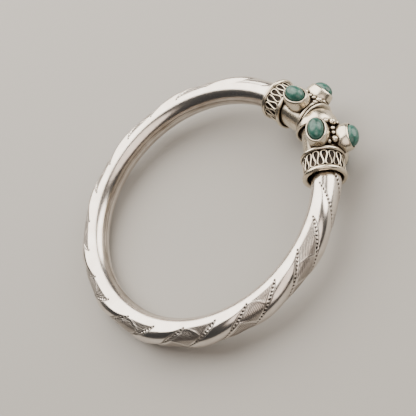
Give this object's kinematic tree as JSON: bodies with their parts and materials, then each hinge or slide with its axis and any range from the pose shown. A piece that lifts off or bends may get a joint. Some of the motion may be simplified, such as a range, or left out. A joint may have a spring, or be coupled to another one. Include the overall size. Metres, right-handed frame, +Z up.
{
  "type": "kada bangle",
  "caption": "Round silver bangle of hollow tube with spiral gadroons; its two facing heads have openwork collars, grains and oval green cabochons.",
  "frame": {"origin": "middle of the bangle's footprint, on the surface that it lies on", "axes": "+Z up, close to the bangle's own axis; the two heads meet on the -Y side, the left head towards -X"},
  "size_m": [0.0772, 0.0828, 0.0194],
  "materials": {
    "silver": "polished silver, darkened in its hollows",
    "turquoise": "polished stone, mottled green"
  },
  "bodies": {
    "root": {"tube": "silver", "head_left": "silver", "head_right": "silver", "stone_left_top": "turquoise", "stone_left_front": "turquoise", "stone_left_bottom": "turquoise", "stone_right_top": "turquoise", "stone_right_front": "turquoise", "stone_right_bottom": "turquoise"}
  },
  "joints": []
}
